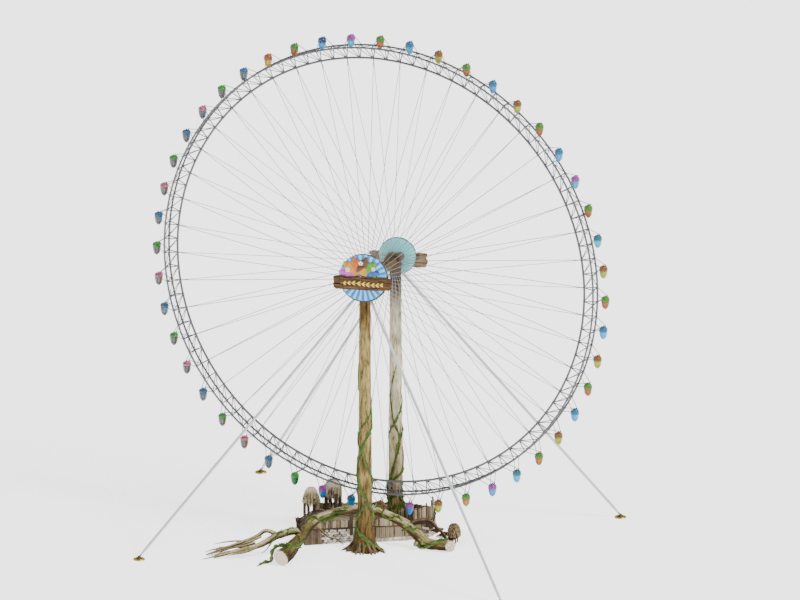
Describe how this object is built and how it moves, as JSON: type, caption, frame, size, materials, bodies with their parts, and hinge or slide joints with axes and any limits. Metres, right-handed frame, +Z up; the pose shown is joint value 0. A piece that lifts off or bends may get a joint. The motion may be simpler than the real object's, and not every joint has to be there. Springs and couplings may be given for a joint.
{
  "type": "themed ferris wheel, 1:10 scale model",
  "caption": "Cable-spoked ferris wheel on tree-trunk pillars with straight stays, acorn-shaped cabins that stay level, round signs, a boarding station and a bent log.",
  "frame": {"origin": "on the ground under the hub, at the middle of the bounding box's base", "axes": "X along the wheel's plane, Y along the axle (the boarding side's large sign faces -Y), Z up"},
  "size_m": [11.196, 7.382, 11.908],
  "materials": {
    "steel": "dark grey painted steel tube, satin",
    "log": "brown sculpted log cladding, matt",
    "bark": "tan and olive-brown sculpted bark, matt",
    "stay_paint": "white and pale grey painted steel tube, satin",
    "sign_blue": "sky-blue and pale-cyan painted sunburst disc with brown plank, satin",
    "sign_teal": "translucent teal panel with brown plank, gloss",
    "station": "grey-brown weathered boards and rough stone, matt",
    "mossy_bark": "pale bark with moss, matt",
    "cabin_purple": "purple cap over a blue tinted body, gloss",
    "cabin_green": "green cap over an orange tinted body, gloss",
    "cabin_blue": "blue cap over a light blue tinted body, gloss",
    "cabin_brown": "brown cap over a yellow-green tinted body, gloss"
  },
  "bodies": {
    "root": {"near_pillar": "bark", "far_pillar": "bark", "near_sign": "sign_blue", "far_sign": "sign_teal", "stay_near_left": "stay_paint", "stay_near_right": "stay_paint", "stay_far_left": "stay_paint", "stay_far_right": "stay_paint", "boarding_station": "station", "log_arch": "mossy_bark"},
    "wheel": {"hub_and_spokes": "log", "rim_truss": "steel"},
    "cabin_01": {"cabin_01": "cabin_green"},
    "cabin_02": {"cabin_02": "cabin_blue"},
    "cabin_03": {"cabin_03": "cabin_brown"},
    "cabin_04": {"cabin_04": "cabin_green"},
    "cabin_05": {"cabin_05": "cabin_blue"},
    "cabin_06": {"cabin_06": "cabin_brown"},
    "cabin_07": {"cabin_07": "cabin_green"},
    "cabin_08": {"cabin_08": "cabin_blue"},
    "cabin_09": {"cabin_09": "cabin_purple"},
    "cabin_10": {"cabin_10": "cabin_green"},
    "cabin_11": {"cabin_11": "cabin_green"},
    "cabin_12": {"cabin_12": "cabin_brown"},
    "cabin_13": {"cabin_13": "cabin_green"},
    "cabin_14": {"cabin_14": "cabin_blue"},
    "cabin_15": {"cabin_15": "cabin_brown"},
    "cabin_16": {"cabin_16": "cabin_green"},
    "cabin_17": {"cabin_17": "cabin_blue"},
    "cabin_18": {"cabin_18": "cabin_brown"},
    "cabin_19": {"cabin_19": "cabin_green"},
    "cabin_20": {"cabin_20": "cabin_blue"},
    "cabin_21": {"cabin_21": "cabin_purple"},
    "cabin_22": {"cabin_22": "cabin_green"},
    "cabin_23": {"cabin_23": "cabin_brown"},
    "cabin_24": {"cabin_24": "cabin_purple"},
    "cabin_25": {"cabin_25": "cabin_brown"},
    "cabin_26": {"cabin_26": "cabin_blue"},
    "cabin_27": {"cabin_27": "cabin_purple"},
    "cabin_28": {"cabin_28": "cabin_green"},
    "cabin_29": {"cabin_29": "cabin_blue"},
    "cabin_30": {"cabin_30": "cabin_purple"},
    "cabin_31": {"cabin_31": "cabin_green"},
    "cabin_32": {"cabin_32": "cabin_blue"},
    "cabin_33": {"cabin_33": "cabin_purple"},
    "cabin_34": {"cabin_34": "cabin_green"},
    "cabin_35": {"cabin_35": "cabin_blue"},
    "cabin_36": {"cabin_36": "cabin_purple"},
    "cabin_37": {"cabin_37": "cabin_green"},
    "cabin_38": {"cabin_38": "cabin_blue"},
    "cabin_39": {"cabin_39": "cabin_purple"},
    "cabin_40": {"cabin_40": "cabin_green"},
    "cabin_41": {"cabin_41": "cabin_blue"},
    "cabin_42": {"cabin_42": "cabin_purple"},
    "cabin_43": {"cabin_43": "cabin_green"},
    "cabin_44": {"cabin_44": "cabin_blue"},
    "cabin_45": {"cabin_45": "cabin_brown"},
    "cabin_46": {"cabin_46": "cabin_green"},
    "cabin_47": {"cabin_47": "cabin_blue"},
    "cabin_48": {"cabin_48": "cabin_purple"}
  },
  "joints": [
    {"name": "wheel_spin", "type": "hinge", "parent": "root", "child": "wheel", "pos_m": [0, 0, 6.37], "axis": [0, 1, 0], "continuous": true},
    {"name": "cabin_01_level", "type": "hinge", "parent": "wheel", "child": "cabin_01", "pos_m": [0, 0, 11.865], "axis": [0, 1, 0], "continuous": true},
    {"name": "cabin_02_level", "type": "hinge", "parent": "wheel", "child": "cabin_02", "pos_m": [0.71724, 0, 11.81799], "axis": [0, 1, 0], "continuous": true},
    {"name": "cabin_03_level", "type": "hinge", "parent": "wheel", "child": "cabin_03", "pos_m": [1.42221, 0, 11.67776], "axis": [0, 1, 0], "continuous": true},
    {"name": "cabin_04_level", "type": "hinge", "parent": "wheel", "child": "cabin_04", "pos_m": [2.10284, 0, 11.44672], "axis": [0, 1, 0], "continuous": true},
    {"name": "cabin_05_level", "type": "hinge", "parent": "wheel", "child": "cabin_05", "pos_m": [2.7475, 0, 11.12881], "axis": [0, 1, 0], "continuous": true},
    {"name": "cabin_06_level", "type": "hinge", "parent": "wheel", "child": "cabin_06", "pos_m": [3.34514, 0, 10.72948], "axis": [0, 1, 0], "continuous": true},
    {"name": "cabin_07_level", "type": "hinge", "parent": "wheel", "child": "cabin_07", "pos_m": [3.88555, 0, 10.25555], "axis": [0, 1, 0], "continuous": true},
    {"name": "cabin_08_level", "type": "hinge", "parent": "wheel", "child": "cabin_08", "pos_m": [4.35948, 0, 9.71514], "axis": [0, 1, 0], "continuous": true},
    {"name": "cabin_09_level", "type": "hinge", "parent": "wheel", "child": "cabin_09", "pos_m": [4.75881, 0, 9.1175], "axis": [0, 1, 0], "continuous": true},
    {"name": "cabin_10_level", "type": "hinge", "parent": "wheel", "child": "cabin_10", "pos_m": [5.07672, 0, 8.47284], "axis": [0, 1, 0], "continuous": true},
    {"name": "cabin_11_level", "type": "hinge", "parent": "wheel", "child": "cabin_11", "pos_m": [5.30776, 0, 7.79221], "axis": [0, 1, 0], "continuous": true},
    {"name": "cabin_12_level", "type": "hinge", "parent": "wheel", "child": "cabin_12", "pos_m": [5.44799, 0, 7.08724], "axis": [0, 1, 0], "continuous": true},
    {"name": "cabin_13_level", "type": "hinge", "parent": "wheel", "child": "cabin_13", "pos_m": [5.495, 0, 6.37], "axis": [0, 1, 0], "continuous": true},
    {"name": "cabin_14_level", "type": "hinge", "parent": "wheel", "child": "cabin_14", "pos_m": [5.44799, 0, 5.65276], "axis": [0, 1, 0], "continuous": true},
    {"name": "cabin_15_level", "type": "hinge", "parent": "wheel", "child": "cabin_15", "pos_m": [5.30776, 0, 4.94779], "axis": [0, 1, 0], "continuous": true},
    {"name": "cabin_16_level", "type": "hinge", "parent": "wheel", "child": "cabin_16", "pos_m": [5.07672, 0, 4.26715], "axis": [0, 1, 0], "continuous": true},
    {"name": "cabin_17_level", "type": "hinge", "parent": "wheel", "child": "cabin_17", "pos_m": [4.75881, 0, 3.6225], "axis": [0, 1, 0], "continuous": true},
    {"name": "cabin_18_level", "type": "hinge", "parent": "wheel", "child": "cabin_18", "pos_m": [4.35948, 0, 3.02486], "axis": [0, 1, 0], "continuous": true},
    {"name": "cabin_19_level", "type": "hinge", "parent": "wheel", "child": "cabin_19", "pos_m": [3.88555, 0, 2.48445], "axis": [0, 1, 0], "continuous": true},
    {"name": "cabin_20_level", "type": "hinge", "parent": "wheel", "child": "cabin_20", "pos_m": [3.34514, 0, 2.01052], "axis": [0, 1, 0], "continuous": true},
    {"name": "cabin_21_level", "type": "hinge", "parent": "wheel", "child": "cabin_21", "pos_m": [2.7475, 0, 1.61119], "axis": [0, 1, 0], "continuous": true},
    {"name": "cabin_22_level", "type": "hinge", "parent": "wheel", "child": "cabin_22", "pos_m": [2.10284, 0, 1.29328], "axis": [0, 1, 0], "continuous": true},
    {"name": "cabin_23_level", "type": "hinge", "parent": "wheel", "child": "cabin_23", "pos_m": [1.42221, 0, 1.06224], "axis": [0, 1, 0], "continuous": true},
    {"name": "cabin_24_level", "type": "hinge", "parent": "wheel", "child": "cabin_24", "pos_m": [0.71724, 0, 0.92201], "axis": [0, 1, 0], "continuous": true},
    {"name": "cabin_25_level", "type": "hinge", "parent": "wheel", "child": "cabin_25", "pos_m": [0, 0, 0.875], "axis": [0, 1, 0], "continuous": true},
    {"name": "cabin_26_level", "type": "hinge", "parent": "wheel", "child": "cabin_26", "pos_m": [-0.71724, 0, 0.92201], "axis": [0, 1, 0], "continuous": true},
    {"name": "cabin_27_level", "type": "hinge", "parent": "wheel", "child": "cabin_27", "pos_m": [-1.42221, 0, 1.06224], "axis": [0, 1, 0], "continuous": true},
    {"name": "cabin_28_level", "type": "hinge", "parent": "wheel", "child": "cabin_28", "pos_m": [-2.10284, 0, 1.29328], "axis": [0, 1, 0], "continuous": true},
    {"name": "cabin_29_level", "type": "hinge", "parent": "wheel", "child": "cabin_29", "pos_m": [-2.7475, 0, 1.61119], "axis": [0, 1, 0], "continuous": true},
    {"name": "cabin_30_level", "type": "hinge", "parent": "wheel", "child": "cabin_30", "pos_m": [-3.34514, 0, 2.01052], "axis": [0, 1, 0], "continuous": true},
    {"name": "cabin_31_level", "type": "hinge", "parent": "wheel", "child": "cabin_31", "pos_m": [-3.88555, 0, 2.48445], "axis": [0, 1, 0], "continuous": true},
    {"name": "cabin_32_level", "type": "hinge", "parent": "wheel", "child": "cabin_32", "pos_m": [-4.35948, 0, 3.02486], "axis": [0, 1, 0], "continuous": true},
    {"name": "cabin_33_level", "type": "hinge", "parent": "wheel", "child": "cabin_33", "pos_m": [-4.75881, 0, 3.6225], "axis": [0, 1, 0], "continuous": true},
    {"name": "cabin_34_level", "type": "hinge", "parent": "wheel", "child": "cabin_34", "pos_m": [-5.07672, 0, 4.26715], "axis": [0, 1, 0], "continuous": true},
    {"name": "cabin_35_level", "type": "hinge", "parent": "wheel", "child": "cabin_35", "pos_m": [-5.30776, 0, 4.94779], "axis": [0, 1, 0], "continuous": true},
    {"name": "cabin_36_level", "type": "hinge", "parent": "wheel", "child": "cabin_36", "pos_m": [-5.44799, 0, 5.65276], "axis": [0, 1, 0], "continuous": true},
    {"name": "cabin_37_level", "type": "hinge", "parent": "wheel", "child": "cabin_37", "pos_m": [-5.495, 0, 6.37], "axis": [0, 1, 0], "continuous": true},
    {"name": "cabin_38_level", "type": "hinge", "parent": "wheel", "child": "cabin_38", "pos_m": [-5.44799, 0, 7.08724], "axis": [0, 1, 0], "continuous": true},
    {"name": "cabin_39_level", "type": "hinge", "parent": "wheel", "child": "cabin_39", "pos_m": [-5.30776, 0, 7.79221], "axis": [0, 1, 0], "continuous": true},
    {"name": "cabin_40_level", "type": "hinge", "parent": "wheel", "child": "cabin_40", "pos_m": [-5.07672, 0, 8.47284], "axis": [0, 1, 0], "continuous": true},
    {"name": "cabin_41_level", "type": "hinge", "parent": "wheel", "child": "cabin_41", "pos_m": [-4.75881, 0, 9.1175], "axis": [0, 1, 0], "continuous": true},
    {"name": "cabin_42_level", "type": "hinge", "parent": "wheel", "child": "cabin_42", "pos_m": [-4.35948, 0, 9.71514], "axis": [0, 1, 0], "continuous": true},
    {"name": "cabin_43_level", "type": "hinge", "parent": "wheel", "child": "cabin_43", "pos_m": [-3.88555, 0, 10.25555], "axis": [0, 1, 0], "continuous": true},
    {"name": "cabin_44_level", "type": "hinge", "parent": "wheel", "child": "cabin_44", "pos_m": [-3.34514, 0, 10.72948], "axis": [0, 1, 0], "continuous": true},
    {"name": "cabin_45_level", "type": "hinge", "parent": "wheel", "child": "cabin_45", "pos_m": [-2.7475, 0, 11.12881], "axis": [0, 1, 0], "continuous": true},
    {"name": "cabin_46_level", "type": "hinge", "parent": "wheel", "child": "cabin_46", "pos_m": [-2.10284, 0, 11.44672], "axis": [0, 1, 0], "continuous": true},
    {"name": "cabin_47_level", "type": "hinge", "parent": "wheel", "child": "cabin_47", "pos_m": [-1.42221, 0, 11.67776], "axis": [0, 1, 0], "continuous": true},
    {"name": "cabin_48_level", "type": "hinge", "parent": "wheel", "child": "cabin_48", "pos_m": [-0.71724, 0, 11.81799], "axis": [0, 1, 0], "continuous": true}
  ],
  "couplings": [
    {"joint": "cabin_01_level", "follows": "wheel_spin", "ratio": -1},
    {"joint": "cabin_02_level", "follows": "wheel_spin", "ratio": -1},
    {"joint": "cabin_03_level", "follows": "wheel_spin", "ratio": -1},
    {"joint": "cabin_04_level", "follows": "wheel_spin", "ratio": -1},
    {"joint": "cabin_05_level", "follows": "wheel_spin", "ratio": -1},
    {"joint": "cabin_06_level", "follows": "wheel_spin", "ratio": -1},
    {"joint": "cabin_07_level", "follows": "wheel_spin", "ratio": -1},
    {"joint": "cabin_08_level", "follows": "wheel_spin", "ratio": -1},
    {"joint": "cabin_09_level", "follows": "wheel_spin", "ratio": -1},
    {"joint": "cabin_10_level", "follows": "wheel_spin", "ratio": -1},
    {"joint": "cabin_11_level", "follows": "wheel_spin", "ratio": -1},
    {"joint": "cabin_12_level", "follows": "wheel_spin", "ratio": -1},
    {"joint": "cabin_13_level", "follows": "wheel_spin", "ratio": -1},
    {"joint": "cabin_14_level", "follows": "wheel_spin", "ratio": -1},
    {"joint": "cabin_15_level", "follows": "wheel_spin", "ratio": -1},
    {"joint": "cabin_16_level", "follows": "wheel_spin", "ratio": -1},
    {"joint": "cabin_17_level", "follows": "wheel_spin", "ratio": -1},
    {"joint": "cabin_18_level", "follows": "wheel_spin", "ratio": -1},
    {"joint": "cabin_19_level", "follows": "wheel_spin", "ratio": -1},
    {"joint": "cabin_20_level", "follows": "wheel_spin", "ratio": -1},
    {"joint": "cabin_21_level", "follows": "wheel_spin", "ratio": -1},
    {"joint": "cabin_22_level", "follows": "wheel_spin", "ratio": -1},
    {"joint": "cabin_23_level", "follows": "wheel_spin", "ratio": -1},
    {"joint": "cabin_24_level", "follows": "wheel_spin", "ratio": -1},
    {"joint": "cabin_25_level", "follows": "wheel_spin", "ratio": -1},
    {"joint": "cabin_26_level", "follows": "wheel_spin", "ratio": -1},
    {"joint": "cabin_27_level", "follows": "wheel_spin", "ratio": -1},
    {"joint": "cabin_28_level", "follows": "wheel_spin", "ratio": -1},
    {"joint": "cabin_29_level", "follows": "wheel_spin", "ratio": -1},
    {"joint": "cabin_30_level", "follows": "wheel_spin", "ratio": -1},
    {"joint": "cabin_31_level", "follows": "wheel_spin", "ratio": -1},
    {"joint": "cabin_32_level", "follows": "wheel_spin", "ratio": -1},
    {"joint": "cabin_33_level", "follows": "wheel_spin", "ratio": -1},
    {"joint": "cabin_34_level", "follows": "wheel_spin", "ratio": -1},
    {"joint": "cabin_35_level", "follows": "wheel_spin", "ratio": -1},
    {"joint": "cabin_36_level", "follows": "wheel_spin", "ratio": -1},
    {"joint": "cabin_37_level", "follows": "wheel_spin", "ratio": -1},
    {"joint": "cabin_38_level", "follows": "wheel_spin", "ratio": -1},
    {"joint": "cabin_39_level", "follows": "wheel_spin", "ratio": -1},
    {"joint": "cabin_40_level", "follows": "wheel_spin", "ratio": -1},
    {"joint": "cabin_41_level", "follows": "wheel_spin", "ratio": -1},
    {"joint": "cabin_42_level", "follows": "wheel_spin", "ratio": -1},
    {"joint": "cabin_43_level", "follows": "wheel_spin", "ratio": -1},
    {"joint": "cabin_44_level", "follows": "wheel_spin", "ratio": -1},
    {"joint": "cabin_45_level", "follows": "wheel_spin", "ratio": -1},
    {"joint": "cabin_46_level", "follows": "wheel_spin", "ratio": -1},
    {"joint": "cabin_47_level", "follows": "wheel_spin", "ratio": -1},
    {"joint": "cabin_48_level", "follows": "wheel_spin", "ratio": -1}
  ]
}
